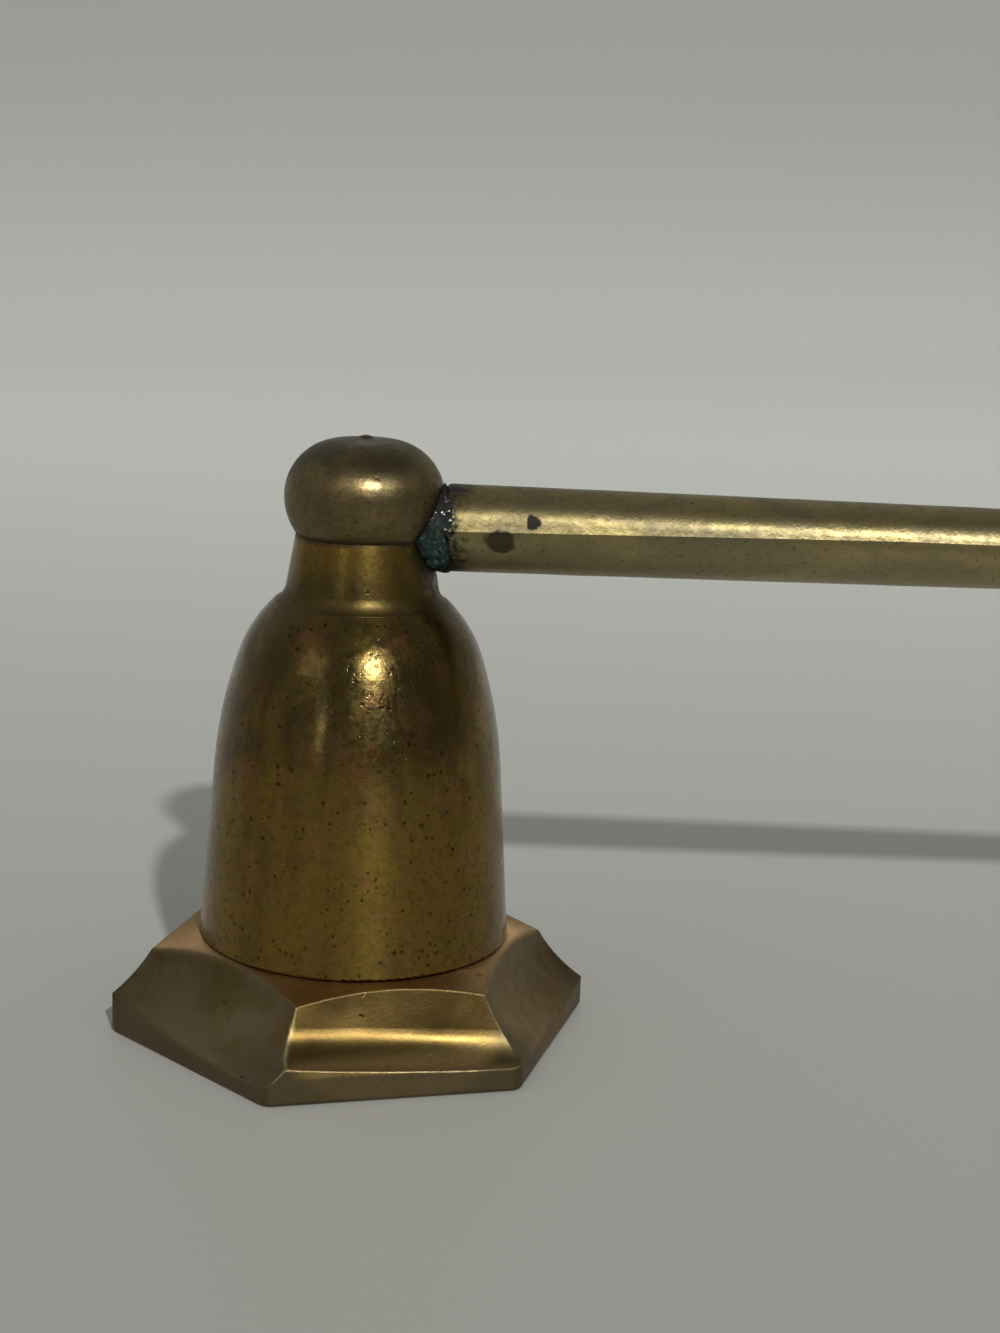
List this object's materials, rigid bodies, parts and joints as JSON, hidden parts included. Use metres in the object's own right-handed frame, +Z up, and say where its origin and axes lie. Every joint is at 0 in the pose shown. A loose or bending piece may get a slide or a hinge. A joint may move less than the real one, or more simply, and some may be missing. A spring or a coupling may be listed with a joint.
{
  "type": "candle snuffer",
  "caption": "Aged brass candle snuffer: a turned bell on a coved hexagonal foot, with a neck collar, a squashed ball knob and a long level tapered handle soldered on.",
  "frame": {"origin": "centre of the bell's mouth on the plane that the foot stands on", "axes": "+Z up along the bell's axis, +X along the handle, +Y to its left seen from above"},
  "size_m": [0.1845, 0.0384, 0.0489],
  "materials": {
    "bell_brass": "aged, olive-brown patina, fine scratches and pits",
    "foot_brass": "aged, coppery on the ledge, worn bright on the edges",
    "handle_brass": "paler, handled smooth, with dark specks",
    "screw_brass": "dull, sooty",
    "solder": "lumpy tin solder with green verdigris"
  },
  "bodies": {
    "root": {"hex_foot": "foot_brass", "bell_cup": "bell_brass", "neck_collar": "bell_brass", "knob": "bell_brass", "centre_screw": "screw_brass", "screw_washer": "screw_brass", "handle_tube": "handle_brass", "end_knob": "handle_brass", "solder_joint": "solder"}
  },
  "joints": []
}
